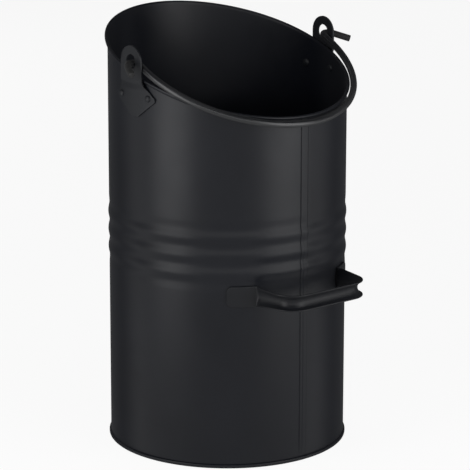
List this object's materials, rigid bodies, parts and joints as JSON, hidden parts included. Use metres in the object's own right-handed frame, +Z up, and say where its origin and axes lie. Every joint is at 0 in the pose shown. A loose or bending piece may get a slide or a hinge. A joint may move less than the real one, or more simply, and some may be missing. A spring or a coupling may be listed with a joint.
{
  "type": "coal scuttle",
  "caption": "Tall round sheet-steel coal scuttle with a slanted wired mouth, a swinging wire bail and a strap tipping handle low on the front.",
  "frame": {"origin": "centre of the foot ring, on the floor", "axes": "+Z up; -Y towards the low pouring lip and the front handle, +Y towards the high back; +X to the right seen from the front with the bail's axis along X"},
  "size_m": [0.3024, 0.2956, 0.4497],
  "materials": {
    "sheet_coat": "satin black powder coat on sheet steel",
    "fitting_coat": "satin black powder coat on pressed steel",
    "wire_coat": "semi-gloss black powder coat on round steel wire",
    "handle_coat": "satin black powder coat on steel strap"
  },
  "bodies": {
    "bucket": {"body_shell": "sheet_coat", "rim_wire": "sheet_coat", "base_pan": "sheet_coat", "ear_left": "fitting_coat", "ear_right": "fitting_coat", "rivet_left_front": "fitting_coat", "rivet_left_back": "fitting_coat", "rivet_right_front": "fitting_coat", "rivet_right_back": "fitting_coat", "front_handle": "handle_coat"},
    "bail": {"bail": "wire_coat"}
  },
  "joints": [
    {"name": "bail_swing", "type": "hinge", "parent": "bucket", "child": "bail", "pos_m": [0, -0.00681, 0.42049], "axis": [-1, 0, 0], "range_deg": [0, 191]}
  ]
}
